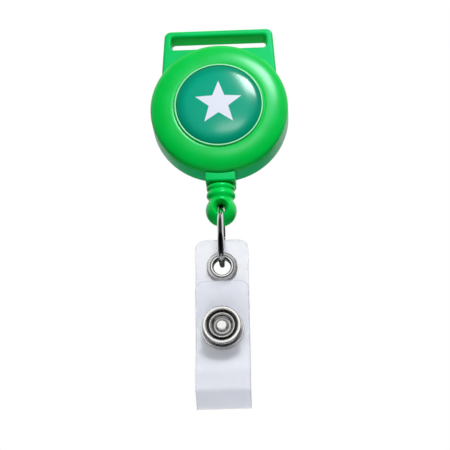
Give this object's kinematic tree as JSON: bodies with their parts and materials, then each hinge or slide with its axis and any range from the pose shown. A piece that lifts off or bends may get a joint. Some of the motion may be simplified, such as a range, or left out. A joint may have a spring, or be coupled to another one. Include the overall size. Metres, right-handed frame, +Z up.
{
  "type": "retractable badge reel",
  "caption": "Round sprung cord reel with a lanyard slot on top, a stopper bead, a wire ring and a folded clear strap that snaps round a badge's slot.",
  "frame": {"origin": "middle of the lanyard slot's ceiling, above the cord's plane", "axes": "+Z up as the reel hangs, the label faces -Y, +X to the right"},
  "size_m": [0.032, 0.0136, 0.0921],
  "materials": {
    "case_plastic": "moulded green ABS, slightly softened gloss",
    "cover_plastic": "moulded green ABS, glossy dome",
    "label": "printed teal film with a white motif",
    "resin": "clear poured resin, high gloss",
    "pin_steel": "plain turned steel",
    "spool_plastic": "natural acetal",
    "cord": "braided black nylon",
    "spring_steel": "blued strip steel",
    "bead_plastic": "moulded green, satin gloss",
    "nickel_wire": "bright nickel plate",
    "nickel_sheet": "pressed brass, nickel plated",
    "vinyl": "frosted translucent vinyl sheet"
  },
  "bodies": {
    "case": {"back_case": "case_plastic", "front_cover": "cover_plastic", "label_disc": "label", "resin_dome": "resin", "centre_pin": "pin_steel", "power_spring": "spring_steel", "spring_retainer": "spool_plastic", "cord_run": "cord"},
    "spool": {"spool": "spool_plastic", "cord_winding": "cord"},
    "cord": {"cord_tail": "cord", "cord_knot": "cord"},
    "bead": {"bead": "bead_plastic"},
    "ring": {"ring": "nickel_wire"},
    "strap": {"strap_back": "vinyl", "strap_eyelet": "nickel_sheet", "eyelet_washer": "nickel_sheet", "snap_stud": "nickel_sheet", "snap_stud_rivet": "nickel_sheet"},
    "flap": {"strap_flap": "vinyl", "snap_socket": "nickel_sheet", "snap_spring": "spring_steel", "snap_cap": "nickel_sheet", "snap_rivet_ring": "nickel_sheet"}
  },
  "joints": [
    {"name": "cord_pull", "type": "slide", "parent": "case", "child": "cord", "axis": [0, 0, -1], "range_m": [0, 0.6], "stiffness_N_per_m": 1.2, "springref_m": -0.43},
    {"name": "spool_spin", "type": "hinge", "parent": "case", "child": "spool", "pos_m": [0, 0, -0.01934], "axis": [0, 1, 0], "range_deg": [0, 3220]},
    {"name": "bead_turn", "type": "hinge", "parent": "cord", "child": "bead", "pos_m": [0, 0, -0.04379], "axis": [0, 0, 1], "continuous": true},
    {"name": "ring_turn", "type": "hinge", "parent": "bead", "child": "ring", "pos_m": [0, 0, -0.05029], "axis": [1, 0, 0], "range_deg": [-80, 80]},
    {"name": "strap_swing", "type": "hinge", "parent": "ring", "child": "strap", "pos_m": [0, 0, -0.05643], "axis": [0, 1, 0], "range_deg": [-75, 75]},
    {"name": "flap_open", "type": "hinge", "parent": "strap", "child": "flap", "pos_m": [0, 0, -0.09023], "axis": [1, 0, 0], "range_deg": [0, 150]}
  ],
  "couplings": [
    {"joint": "spool_spin", "follows": "cord_pull", "rad_per_m": 93}
  ]
}
